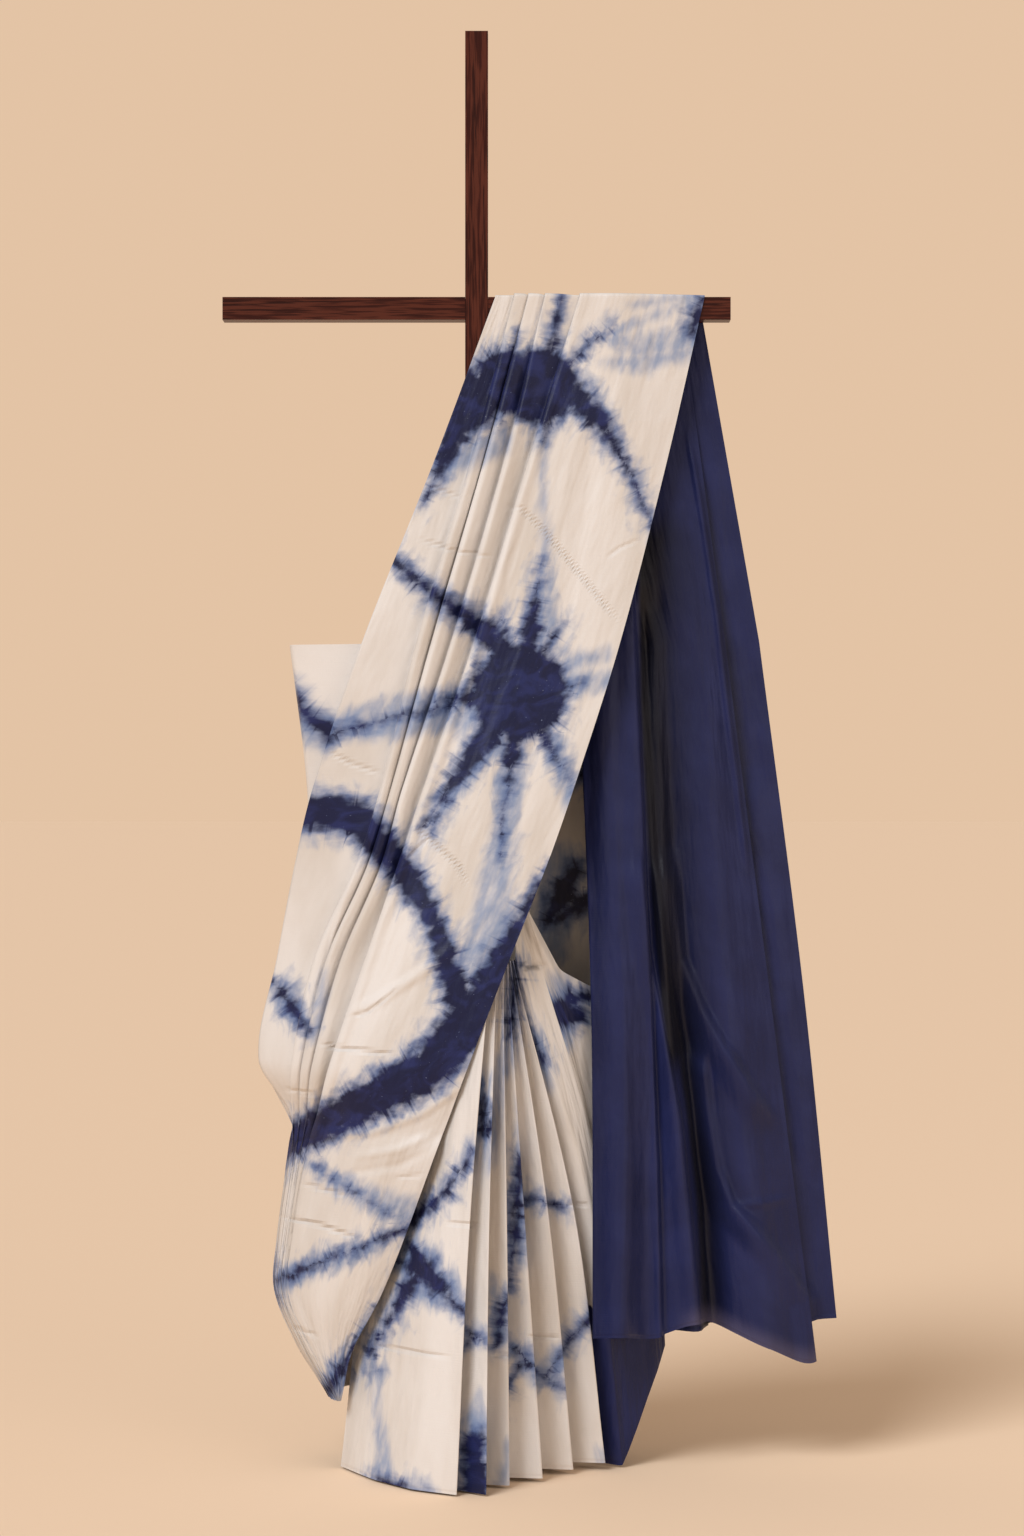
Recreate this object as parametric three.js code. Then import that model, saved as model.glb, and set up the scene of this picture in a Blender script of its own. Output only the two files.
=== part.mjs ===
// A shibori dyed silk saree draped over the crossbar of a wooden stand.
// Millimetres: X runs along the crossbar, Y away from the viewer, Z up from the floor.
import * as THREE from "three";

// The stand
const TIMBER = 34;
const FIT = 0.3;
const STAND = { height: 2145, barLength: 760, barHeight: 1730, lowerLength: 520, lowerTop: 1228 };
const FOOT = { width: 50, height: 28, halfAcross: 115, front: -100, back: 220 };

// The cloth: its thickness in this model, its gap to the bar, and the spacing of the pleats'
// layers on the bar, in the hanging panel and in the loose drop
const CLOTH = { thickness: 1, barGap: 0.3, onBar: 1.6, inPanel: 2.4, inDrop: 10 };

// A table's rows as objects, from its columns' names and each row's values
function table(names, ...rows) {
  return rows.map((values) => Object.fromEntries(names.map((name, i) => [name, values[i]])));
}

// The pleated front panel, by height: its right edge, its left side, and the four ridges between
// them. tuck is how far each ridge's cloth runs back under itself; below zero the pleat is open.
const PANEL = table(
  ["z", "edgeX", "edgeY", "r1", "r2", "r3", "r4", "leftX", "leftY", "tuck"],
  [1747, 341, -28, 157, 105, 80, 59, 28, -28, 12],
  [1500, 284, -45, 80, 44, 14, -6, -64, -40, 13],
  [1228, 213, -80, -1, -35, -64, -86, -172, -62, 13],
  [1010, 143, -115, -76, -107, -124, -140, -250, -45, 8],
  [900, 104, -131, -113, -138, -158, -176, -279, -25, 9],
  [759, 48, -152, -162, -198, -220, -239, -309, -5, 9],
  [605, -12, -168, -214, -240, -256, -272, -338, 0, 7],
  [530, -40, -162, -234, -250, -262, -274, -294, -3, 2],
  [480, -59, -157, -250, -260, -268, -275, -284, -4, -2],
  [330, -114, -128, -276, -283, -289, -295, -301, 0, -2.5],
  [260, -143, -105, -280, -287, -293, -298, -304, 0, -2.5],
  [180, -183, -75, -245, -253, -259, -265, -271, -5, -2.5],
  [105, -200, -60, -206, -211, -216, -221, -225, -10, -2],
);
const PANEL_BULGE = 2.4;
const RIDGES = ["r1", "r2", "r3", "r4"];

// A pleat opens as its tuck falls from zero to this far below it, and its two sides part a little
const OPEN_TUCK = 2.5;
const OPEN_GAP = 0.8;

// Where a narrow face leaves the fold above it and reaches the next ridge's level, as shares of
// the room between the two ridges
const FACE = { start: 0.15, level: 0.25 };

// The panel hangs free of the bar below this height
const PANEL_FREE = 1560;

// The hidden fold behind the panel, where the cloth turns back to run round the stand, by height
const HIDDEN_FOLD = [
  { z: 1747, foldX: 310, foldY: -18 },
  { z: 1500, foldX: 190, foldY: -28 },
  { z: 1350, foldX: 40, foldY: -38 },
  { z: 1228, foldX: -100, foldY: -50 },
  { z: 1010, foldX: -195, foldY: -46 },
  { z: 900, foldX: -262, foldY: 2 },
  { z: 759, foldX: -296, foldY: 17 },
  { z: 605, foldX: -322, foldY: 24 },
  { z: 480, foldX: -272, foldY: 28 },
  { z: 330, foldX: -288, foldY: 30 },
  { z: 105, foldX: -212, foldY: 26 },
];

// From the hidden fold's line to where the cloth lies again behind it
const FOLD_TURN = { x: -1, y: 7 };

// The turn from the front layer round the lower bar's left end to the back layer, by height
const LEFT_TURN = [
  { z: 1228, frontX: -280, frontY: 13, turnX: -283.5, turnY: 34, backX: -279, backY: 55 },
  { z: 1010, frontX: -254, frontY: 10, turnX: -257, turnY: 32, backX: -250, backY: 57 },
  { z: 900, frontX: -264, frontY: 24, turnX: -258, turnY: 42, backX: -243, backY: 59 },
  { z: 759, frontX: -290, frontY: 36, turnX: -280, turnY: 52, backX: -258, backY: 66 },
  { z: 605, frontX: -312, frontY: 44, turnX: -298, turnY: 60, backX: -272, backY: 74 },
  { z: 480, frontX: -266, frontY: 46, turnX: -254, turnY: 62, backX: -232, backY: 78 },
  { z: 330, frontX: -280, frontY: 48, turnX: -268, turnY: 64, backX: -244, backY: 80 },
  { z: 105, frontX: -206, frontY: 44, turnX: -196, turnY: 60, backX: -174, backY: 80 },
];

// The rest of the wrap, one row for each fold line from the back round the right side to the
// front pleats: where the line starts, where it is half way down, and where it meets the hem
const WRAP = [
  { fold: "back left", top: [-150, 56, 1228], middle: [-160, 74], hem: [-110, 88, 108] },
  { fold: "back middle", top: [0, 56, 1228], middle: [-10, 78], hem: [0, 94, 112] },
  { fold: "back right", top: [150, 56, 1228], middle: [145, 70], hem: [130, 88, 120] },
  { fold: "right turn back", top: [279, 55, 1228], middle: [250, 56], hem: [235, 76, 135] },
  { fold: "right turn", top: [284, 36, 1228], middle: [272, 38], hem: [276, 48, 155] },
  { fold: "side high", top: [270, 22, 950], middle: [264, 14], hem: [284, 20, 174] },
  { fold: "side low", top: [230, 5, 760], middle: [240, -6], hem: [272, 0, 140] },
  { fold: "swag bottom", top: [178, -20, 712], middle: [215, -22], hem: [256, -14, 100] },
  { fold: "swag middle", top: [124, -62, 743], middle: [194, -38], hem: [241, -25, 60] },
  { fold: "swag start", top: [80, -90, 833], middle: [181, -50], hem: [227, -33, 25] },
  { fold: "last ridge", top: [70, -86, 759], middle: [171, -62], hem: [217, -38, 3] },
  { fold: "valley", top: [66, -75, 759], middle: [106, -32], hem: [150, -4, 8] },
  { fold: "pleat ridge 6", top: [61, -95, 759], middle: [149, -78], hem: [196, -60, 12] },
  { fold: "valley", top: [58.5, -85, 759], middle: [82, -50], hem: [110, -38, 10] },
  { fold: "pleat ridge 5", top: [55.5, -103, 759], middle: [110, -100], hem: [148, -88, 8] },
  { fold: "valley", top: [53, -93, 759], middle: [53, -74], hem: [60, -75, 8] },
  { fold: "pleat ridge 4", top: [50, -111, 759], middle: [74, -128], hem: [102, -140, 6] },
  { fold: "valley", top: [46.5, -101, 759], middle: [25, -104], hem: [10, -125, 6] },
  { fold: "pleat ridge 3", top: [42, -119, 759], middle: [48, -158], hem: [54, -183, 5] },
  { fold: "valley", top: [37, -109, 759], middle: [-2, -126], hem: [-35, -160, 4] },
  { fold: "pleat ridge 2", top: [32, -127, 759], middle: [22, -188], hem: [20, -238, 3] },
  { fold: "valley", top: [26, -117, 759], middle: [-28, -138], hem: [-75, -165, 3] },
  { fold: "pleat ridge 1", top: [22, -135, 759], middle: [-6, -194], hem: [-22, -238, 3] },
  { fold: "wide face", top: [0, -122, 759], middle: [-46, -168], hem: [-92, -198, 3] },
  { fold: "wide face", top: [-30, -98, 759], middle: [-98, -112], hem: [-158, -122, 3] },
  { fold: "start edge", top: [-60, -70, 759], middle: [-156, -36], hem: [-202, -38, 3] },
];

// The plain end behind the bar, one row for each soft fold of its front layer and for its rear
// selvedge: where the fold starts on the bar, and where it is further down and at the hem
const DROP = [
  { fold: "left edge", bar: 28, upper: [150, -16], lower: [170, -60], hem: [172, -96, 203] },
  { fold: "round fold", bar: 70, upper: [192, -30], lower: [216, -80], hem: [216, -116, 207] },
  { fold: "valley", bar: 115, upper: [243, -14], lower: [258, -46], hem: [262, -58, 198] },
  { fold: "narrow fold", bar: 150, upper: [266, -22], lower: [284, -56], hem: [322, -68, 219] },
  { fold: "valley", bar: 180, upper: [287, -10], lower: [310, -24], hem: [356, -28, 212] },
  { fold: "wide fold", bar: 245, upper: [330, -16], lower: [375, -42], hem: [435, -54, 180] },
  { fold: "front selvedge", bar: 310, upper: [375, -4], lower: [444, -6], hem: [509, -2, 155] },
  { fold: "rear selvedge", bar: 341, upper: [425, 4], lower: [492, 8], hem: [542, 10, 215] },
];
const DROP_LEVELS = { start: 1713, upper: 1228, lower: 700, hem: 200, rearHem: 214 };

// Heights of the rows of points down the panel, and the rows down the drop as shares of its length
const PANEL_ROWS = [
  1650, 1560, 1470, 1380, 1300, 1228, 1150, 1080, 1010, 950, 900, 830, 759, 690,
  640, 605, 570, 535, 500, 460, 400, 330, 260, 220, 180, 140, 105,
];
const WRAP_START = PANEL_ROWS.indexOf(STAND.lowerTop);
const DROP_ROWS = 12;
const WIDE_FACE_PARTS = 6;
const OUTER_LAYER = 3;

const finish = (color, roughness) => new THREE.MeshStandardMaterial({ color, roughness, metalness: 0 });
const woodMaterial = () => finish(0x4a1e16, 0.38);
const silkMaterial = () => finish(0xe6ddd3, 0.5);

const mix = (a, b, share) => a + (b - a) * share;
const clamp = (value) => Math.min(1, Math.max(0, value));
const ease = (share) => share * share * (3 - 2 * share);

// A smooth value at a place between [place, value] pairs, which are in order of place
function smooth(pairs, place) {
  const last = pairs.length - 1;
  let i = 0;
  while (i < last - 1 && pairs[i + 1][0] < place) i += 1;
  const slope = (n) => {
    const before = pairs[Math.max(0, n - 1)];
    const after = pairs[Math.min(last, n + 1)];
    return (after[1] - before[1]) / (after[0] - before[0]);
  };
  const [from, to] = [pairs[i], pairs[i + 1]];
  const span = to[0] - from[0];
  const s = clamp((place - from[0]) / span);
  const pull = (slope(i) * s * (1 - s) * (1 - s) - slope(i + 1) * s * s * (1 - s)) * span;
  return mix(from[1], to[1], ease(s)) + pull;
}

const valueAt = (table, key, z) => smooth(table.map((row) => [-row.z, row[key]]), -z);

const ridgeX = (name, z) => valueAt(PANEL, name, z);
const valleyX = (name, z) => ridgeX(name, z) + valueAt(PANEL, "tuck", z);
const edgeX = (z) => valueAt(PANEL, "edgeX", z);
const leftX = (z) => valueAt(PANEL, "leftX", z);
const foldX = (z) => valueAt(HIDDEN_FOLD, "foldX", z);

// How closed the pleats are at a height, from 1, flat on each other, to 0, smoothed out
const closed = (z) => clamp(1 + valueAt(PANEL, "tuck", z) / OPEN_TUCK);

// Where the innermost layer has its columns: at each fold of the drop and half way between
function innerShares() {
  const [start, end] = [DROP[0].bar, HIDDEN_FOLD[0].foldX];
  const shares = DROP.slice(0, -1).map((row) => (row.bar - start) / (end - start));
  return shares.flatMap((share, i) => (i ? [(share + shares[i - 1]) / 2, share] : [share]));
}

// The columns across the pleated end, from its right edge: x is the column's place at a height,
// and layer how far out it lies over the innermost layer. Each ridge and valley is a pair of
// columns, which split apart by side as the pleat opens. Across the innermost layer, inner is
// the share of the way from the left side to the hidden fold.
function pleatColumns() {
  const columns = [];
  const add = (x, layer, side = 0, inner = null) => columns.push({ x, layer, side, inner });
  for (let i = 0; i < WIDE_FACE_PARTS; i += 1) {
    const share = i / WIDE_FACE_PARTS;
    const layer = Math.min(OUTER_LAYER, 1 + OUTER_LAYER * share);
    add((z) => mix(edgeX(z), ridgeX("r1", z), share), layer);
  }
  RIDGES.forEach((name, n) => {
    const ridge = (z) => ridgeX(name, z);
    const valley = (z) => valleyX(name, z);
    const low = (z) => Math.min(ridge(z), valley(z));
    add(ridge, OUTER_LAYER, 1);
    add(ridge, 2, -1);
    add(valley, 2, 1);
    add(valley, 1, -1);
    const next = RIDGES[n + 1];
    if (next) {
      const end = (z) => Math.max(ridgeX(next, z), valleyX(next, z));
      const room = (z) => ridge(z) - end(z);
      add((z) => low(z) - FACE.start * room(z), 1);
      add((z) => end(z) + FACE.level * room(z), OUTER_LAYER);
    } else {
      add((z) => mix(low(z), leftX(z), 1 / 3), 1);
      add((z) => mix(low(z), leftX(z), 2 / 3), 1);
    }
  });
  add(leftX, 1, 1);
  for (const share of innerShares()) {
    add((z) => mix(leftX(z), foldX(z), share), 0, 0, share);
  }
  return columns;
}

const BAR_TOP = PANEL[0].z;
const isInner = (column) => column.inner !== null;
const barOffset = (column) => CLOTH.barGap + CLOTH.thickness / 2 + CLOTH.onBar * column.layer;

// A point of the hanging panel: a bulging section, with the layers stacked inwards
function panelPoint(column, z) {
  const [edgeY, leftY] = [valueAt(PANEL, "edgeY", z), valueAt(PANEL, "leftY", z)];
  const width = edgeX(z) - leftX(z);
  const x = isInner(column) ? leftX(z) : column.x(z) + column.side * OPEN_GAP * (1 - closed(z));
  const s = clamp((edgeX(z) - x) / width);
  const y = mix(leftY, edgeY, 1 - s ** PANEL_BULGE);
  const slope = (PANEL_BULGE * (leftY - edgeY) * s ** (PANEL_BULGE - 1)) / width;
  const depth = CLOTH.inPanel * (OUTER_LAYER - column.layer) * (isInner(column) ? 1 : closed(z));
  const inward = new THREE.Vector2(slope, 1).normalize().multiplyScalar(depth);
  const hanging = new THREE.Vector3(x + inward.x, y + inward.y, z);
  if (isInner(column)) hanging.lerp(foldPoint(z), column.inner);
  const onBar = new THREE.Vector3(column.x(z), -TIMBER / 2 - barOffset(column), z);
  return onBar.lerp(hanging, clamp((DROP_LEVELS.start - z) / (DROP_LEVELS.start - PANEL_FREE)));
}

const foldPoint = (z) => new THREE.Vector3(foldX(z), valueAt(HIDDEN_FOLD, "foldY", z), z);

// The rows of a column over the bar, from its back to its front, with round corners. The pleats
// lie square to the bar at its back, and slant with the panel at its front.
function barRows(column) {
  const offset = barOffset(column);
  const half = TIMBER / 2;
  const top = STAND.barHeight + half;
  const corner = offset * Math.SQRT1_2;
  const path = [
    [half + offset, top - TIMBER],
    [half + offset, top],
    [half + corner, top + corner],
    [half, top + offset],
    [-half, top + offset],
    [-half - corner, top + corner],
    [-half - offset, top],
    [-half - offset, top - TIMBER],
  ];
  const placeX = (y, z) => column.x(y < 0 ? Math.min(z, BAR_TOP) : BAR_TOP);
  return path.map(([y, z]) => new THREE.Vector3(placeX(y, z), y, z));
}

// A point of the drop at a share of its length: the front layer's folds, the others behind it,
// whose hem runs straight
function dropPoint(column, share) {
  const { start, upper, lower, hem, rearHem } = DROP_LEVELS;
  const bar = column.x(BAR_TOP);
  const level = Math.min(upper, mix(start, hem, share));
  const across = (key, i) => smooth(DROP.map((row) => [row.bar, row[key][i]]), bar);
  const at = (i) => {
    const levels = [[-upper, across("upper", i)], [-lower, across("lower", i)], [-hem, across("hem", i)]];
    return smooth(levels, -level);
  };
  const [first, last] = [DROP[0], DROP[DROP.length - 1]];
  const straight = mix(first.hem[2], rearHem, (bar - first.bar) / (last.bar - first.bar));
  const z = mix(start, isInner(column) ? across("hem", 2) : straight, share);
  const loose = clamp(((start - hem) * share) / (start - upper));
  const flat = new THREE.Vector3(bar, TIMBER / 2 + barOffset(column), z);
  const soft = new THREE.Vector3(at(0), at(1) + CLOTH.inDrop * column.layer, z);
  return flat.lerp(soft, ease(loose));
}

function pleatedEnd() {
  const columns = pleatColumns();
  const rows = [];
  for (let r = DROP_ROWS; r > 0; r -= 1) {
    rows.push(columns.map((column) => dropPoint(column, r / DROP_ROWS)));
  }
  const overBar = columns.map(barRows);
  for (let r = 0; r < overBar[0].length; r += 1) {
    rows.push(overBar.map((path) => path[r]));
  }
  for (const z of PANEL_ROWS) rows.push(columns.map((column) => panelPoint(column, z)));
  return rows;
}

// The wrap's columns from the panel's hidden fold: front layer, left turn, then the table's folds
function wrapRows() {
  const zs = PANEL_ROWS.slice(WRAP_START);
  const [top, bottom] = [zs[0], zs[zs.length - 1]];
  return zs.map((z) => {
    const turn = (key) => valueAt(LEFT_TURN, key, z);
    const side = (name) => new THREE.Vector3(turn(name + "X"), turn(name + "Y"), z);
    const fold = foldPoint(z);
    const behind = new THREE.Vector3(fold.x + FOLD_TURN.x, fold.y + FOLD_TURN.y, z);
    const between = behind.clone().lerp(side("front"), 0.5);
    const row = [fold, behind, between, side("front"), side("turn"), side("back")];
    const down = (top - z) / (top - bottom);
    for (const line of WRAP) {
      const half = [...line.middle, mix(line.top[2], line.hem[2], 0.5)];
      const at = (i) => smooth([[0, line.top[i]], [0.5, half[i]], [1, line.hem[i]]], down);
      row.push(new THREE.Vector3(at(0), at(1), at(2)));
    }
    return row;
  });
}

// At a fold sharper than this the sheet's corner is cut short: the mean of its normals' cosines
const SHARPEST_FOLD = 0.2;

// Thickens a surface of four-sided cells into one closed sheet of even thickness
function thicken(vertices, cells, thickness) {
  const normalsAt = vertices.map(() => []);
  const edges = new Map();
  for (const cell of cells) {
    const [a, b, c, d] = cell.map((i) => vertices[i]);
    const across = new THREE.Vector3().subVectors(c, a);
    const normal = new THREE.Vector3().subVectors(d, b).cross(across).normalize();
    cell.forEach((vertex, i) => {
      normalsAt[vertex].push(normal);
      const next = cell[(i + 1) % cell.length];
      const back = next + ":" + vertex;
      if (edges.has(back)) edges.delete(back);
      else edges.set(vertex + ":" + next, [vertex, next]);
    });
  }
  const offsets = normalsAt.map((normals) => {
    const mean = normals.reduce((sum, n) => sum.add(n), new THREE.Vector3()).normalize();
    const flatness = normals.reduce((sum, n) => sum + n.dot(mean), 0) / normals.length;
    return mean.multiplyScalar(thickness / 2 / Math.max(flatness, SHARPEST_FOLD));
  });
  const count = vertices.length;
  const positions = [];
  vertices.forEach((v, i) => positions.push(...v.clone().add(offsets[i]).toArray()));
  vertices.forEach((v, i) => positions.push(...v.clone().sub(offsets[i]).toArray()));
  const index = [];
  for (const [a, b, c, d] of cells) {
    index.push(a, c, b, a, d, c);
    index.push(a + count, b + count, c + count, a + count, c + count, d + count);
  }
  for (const [from, to] of edges.values()) {
    index.push(from, to, to + count, from, to + count, from + count);
  }
  const geometry = new THREE.BufferGeometry();
  geometry.setAttribute("position", new THREE.Float32BufferAttribute(positions, 3));
  geometry.setIndex(index);
  geometry.computeVertexNormals();
  return geometry;
}

// The cells between neighbouring rows of vertex numbers
function cellsBetween(rows) {
  const cells = [];
  for (let r = 0; r < rows.length - 1; r += 1) {
    for (let c = 0; c < rows[r].length - 1; c += 1) {
      cells.push([rows[r][c], rows[r][c + 1], rows[r + 1][c + 1], rows[r + 1][c]]);
    }
  }
  return cells;
}

function sareeGeometry() {
  const vertices = [];
  const add = (point) => vertices.push(point) - 1;
  const pleated = pleatedEnd().map((row) => row.map(add));
  const firstShared = pleated.length - PANEL_ROWS.length + WRAP_START;
  const wrap = wrapRows().map((row, r) => {
    const shared = pleated[firstShared + r];
    return [shared[shared.length - 1], ...row.slice(1).map(add)];
  });
  return thicken(vertices, [...cellsBetween(pleated), ...cellsBetween(wrap)], CLOTH.thickness);
}

function extruded(outline, depth) {
  const shape = new THREE.Shape(outline.map(([x, y]) => new THREE.Vector2(x, y)));
  return new THREE.ExtrudeGeometry(shape, { depth, bevelEnabled: false });
}

// The upright, drawn from the side as Y and Z, with a half lap in its rear for the crossbar
function postGeometry() {
  const half = TIMBER / 2;
  const bottom = FOOT.height + FIT;
  const [lapLow, lapHigh] = [STAND.barHeight - half - FIT, STAND.barHeight + half + FIT];
  const side = [
    [-half, bottom],
    [half, bottom],
    [half, lapLow],
    [0, lapLow],
    [0, lapHigh],
    [half, lapHigh],
    [half, STAND.height],
    [-half, STAND.height],
  ];
  return extruded(side, TIMBER).rotateX(Math.PI / 2).rotateZ(Math.PI / 2).translate(-half, 0, 0);
}

// The crossbar, drawn from above as X and Y, with the other half of the lap in its front
function crossbarGeometry() {
  const half = TIMBER / 2;
  const end = STAND.barLength / 2;
  const lap = half + FIT;
  const above = [
    [-end, -half],
    [-lap, -half],
    [-lap, FIT],
    [lap, FIT],
    [lap, -half],
    [end, -half],
    [end, half],
    [-end, half],
  ];
  return extruded(above, TIMBER).translate(0, 0, STAND.barHeight - half);
}

// A foot drawn from the side along its length, half lapped in the middle from above or below
function footGeometry(from, to, lapFromAbove) {
  const { width, height } = FOOT;
  const lap = width / 2 + FIT;
  const middle = height / 2;
  const fromBelow = [
    [-lap, 0],
    [-lap, middle + FIT],
    [lap, middle + FIT],
    [lap, 0],
  ];
  const fromAbove = [
    [lap, height],
    [lap, middle],
    [-lap, middle],
    [-lap, height],
  ];
  const low = lapFromAbove ? [] : fromBelow;
  const high = lapFromAbove ? fromAbove : [];
  const side = [[from, 0], ...low, [to, 0], [to, height], ...high, [from, height]];
  return extruded(side, FOOT.width).rotateX(Math.PI / 2).translate(0, FOOT.width / 2, 0);
}

function named(name, geometry, material) {
  const mesh = new THREE.Mesh(geometry, material);
  mesh.name = name;
  return mesh;
}

function stand() {
  const group = new THREE.Group();
  const lowerBar = named(
    "stand_lower_bar",
    new THREE.BoxGeometry(STAND.lowerLength, TIMBER, TIMBER),
    woodMaterial(),
  );
  lowerBar.position.set(0, TIMBER + FIT, STAND.lowerTop - TIMBER / 2);
  const deepFoot = named("stand_foot_deep", footGeometry(FOOT.front, FOOT.back, false), woodMaterial());
  deepFoot.rotation.z = Math.PI / 2;
  group.add(
    named("stand_post", postGeometry(), woodMaterial()),
    named("stand_crossbar", crossbarGeometry(), woodMaterial()),
    lowerBar,
    named("stand_foot_across", footGeometry(-FOOT.halfAcross, FOOT.halfAcross, true), woodMaterial()),
    deepFoot,
  );
  return group;
}

const part = new THREE.Group();
part.add(stand(), named("saree_cloth", sareeGeometry(), silkMaterial()));

export default part;
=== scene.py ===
# The looks of a shibori dyed silk saree, draped and pleated over a wooden stand's crossbar.
import math

import bpy
import numpy as np
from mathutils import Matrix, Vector

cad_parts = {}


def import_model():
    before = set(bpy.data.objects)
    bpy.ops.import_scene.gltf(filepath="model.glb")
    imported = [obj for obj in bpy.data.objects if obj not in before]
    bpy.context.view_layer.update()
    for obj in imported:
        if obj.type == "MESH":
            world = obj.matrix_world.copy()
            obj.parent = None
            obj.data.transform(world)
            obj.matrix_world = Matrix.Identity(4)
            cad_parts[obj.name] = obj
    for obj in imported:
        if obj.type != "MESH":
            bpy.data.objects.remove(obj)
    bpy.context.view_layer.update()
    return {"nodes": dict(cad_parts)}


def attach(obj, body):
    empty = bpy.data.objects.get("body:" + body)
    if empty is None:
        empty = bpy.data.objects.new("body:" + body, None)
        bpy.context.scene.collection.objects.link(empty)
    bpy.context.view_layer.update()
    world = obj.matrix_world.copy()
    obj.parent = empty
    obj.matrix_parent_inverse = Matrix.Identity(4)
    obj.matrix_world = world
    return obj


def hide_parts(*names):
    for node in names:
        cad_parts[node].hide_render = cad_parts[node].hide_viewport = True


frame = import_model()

# Tables and sizes are in millimetres, and meshes are made in metres.
MM = 0.001

# The camera stands level, straight in front, at the photo's distance
CAMERA = {"x": 53, "y": -5000, "z": 1042.6, "lens": 78.1, "sensor": 36, "clip_end": 200}

# The stand's timber, its bars' heights, and the cloth's spacing, as in the frame
TIMBER = 34
BAR_HEIGHT = 1730
LOWER_TOP = 1228
BAR_GAP = 1.0
ON_BAR = 1.6
IN_PANEL = 6.5
IN_DROP = 10

# The pleated front panel, by height: its right edge, its left side, the ridges between them, and
# how far each ridge's cloth runs back under itself
PANEL_KEYS = ("z", "edge_x", "edge_y", "r1", "r2", "r3", "r4", "left_x", "left_y", "tuck")
PANEL_ROWS = (
    (1747, 341, -28, 157, 105, 80, 59, 28, -28, 12),
    (1500, 284, -45, 80, 44, 14, -6, -64, -40, 13),
    (1228, 213, -80, -1, -35, -64, -86, -172, -62, 13),
    (1010, 143, -115, -76, -107, -124, -140, -250, -45, 8),
    (900, 104, -131, -113, -138, -158, -176, -279, -25, 9),
    (759, 48, -152, -162, -198, -220, -239, -309, -5, 9),
    (605, -12, -168, -214, -240, -256, -272, -338, 0, 7),
    (530, -40, -162, -234, -250, -262, -274, -294, -3, 2),
    (480, -59, -157, -250, -260, -268, -275, -284, -4, -2),
    (330, -114, -128, -276, -283, -289, -295, -301, 0, -2.5),
    (260, -143, -105, -280, -287, -293, -298, -304, 0, -2.5),
    (180, -183, -75, -245, -253, -259, -265, -271, -5, -2.5),
    (105, -200, -60, -206, -211, -216, -221, -225, -10, -2),
)
PANEL_BULGE = 2.4
PANEL_FREE = 1560
OPEN_TUCK = 2.5
RIDGES = ("r1", "r2", "r3", "r4")

# The hidden fold behind the panel, where the cloth turns back to run round the stand
FOLD_KEYS = ("z", "x", "y")
FOLD_ROWS = (
    (1747, 310, -18),
    (1500, 190, -28),
    (1350, 40, -38),
    (1228, -100, -50),
    (1010, -195, -46),
    (900, -262, 2),
    (759, -296, 17),
    (605, -322, 24),
    (480, -272, 28),
    (330, -288, 30),
    (105, -212, 26),
)

# The turn round the lower bar's left end, from the front layer to the back one
TURN_KEYS = ("z", "front_x", "front_y", "turn_x", "turn_y", "back_x", "back_y")
TURN_ROWS = (
    (1228, -280, 13, -283.5, 34, -279, 55),
    (1010, -254, 10, -257, 32, -250, 57),
    (900, -264, 24, -258, 42, -243, 59),
    (759, -290, 36, -280, 52, -258, 66),
    (605, -312, 44, -298, 60, -272, 74),
    (480, -266, 46, -254, 62, -232, 78),
    (330, -280, 48, -268, 64, -244, 80),
    (105, -206, 44, -196, 60, -174, 80),
)

# The wrap's fold lines, from the back round the right side to the front pleats: where each
# starts, where it is half way down, and where it meets the hem
BACK_FOLDS = (
    ((-150, 56, 1228), (-160, 74), (-110, 88, 108)),
    ((0, 56, 1228), (-10, 78), (0, 94, 112)),
    ((150, 56, 1228), (145, 70), (130, 88, 120)),
    ((279, 55, 1228), (250, 56), (235, 76, 135)),
    ((284, 36, 1228), (272, 38), (276, 48, 155)),
)
SIDE_FOLDS = (
    ((270, 22, 950), (264, 14), (284, 20, 174)),
    ((230, 5, 760), (240, -6), (272, 0, 140)),
    ((178, -20, 712), (215, -22), (256, -14, 100)),
    ((124, -62, 743), (194, -38), (241, -25, 60)),
    ((60, -92, 865), (181, -50), (227, -33, 25)),
)
FAN_FOLDS = (
    ((58, -86, 759), (171, -62), (217, -38, 3)),
    ((56, -75, 759), (106, -32), (150, -4, 8)),
    ((54, -95, 759), (149, -78), (196, -60, 12)),
    ((52, -85, 759), (82, -50), (110, -38, 10)),
    ((50, -103, 759), (110, -100), (148, -88, 8)),
    ((48, -93, 759), (53, -74), (60, -75, 8)),
    ((46, -111, 759), (74, -128), (102, -140, 6)),
    ((43, -101, 759), (25, -104), (10, -125, 6)),
    ((39.5, -119, 759), (48, -158), (54, -183, 5)),
    ((35, -109, 759), (-2, -126), (-35, -160, 4)),
    ((31, -127, 759), (22, -188), (20, -238, 3)),
    ((26, -117, 759), (-28, -138), (-75, -165, 3)),
    ((22, -135, 759), (-6, -194), (-22, -238, 3)),
    ((0, -122, 759), (-46, -168), (-92, -198, 3)),
    ((-30, -98, 759), (-98, -112), (-158, -122, 3)),
    ((-60, -70, 759), (-156, -36), (-202, -38, 3)),
)

# The face that each fan fold starts, from the right, where pleats show one below another. The first
# one is partly navy.
FAN_FACES = ("G navy", "G navy", "F", "F", "E", "E", "D", "D", "C", "C", "B", "B", "A", "A", "A")

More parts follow.
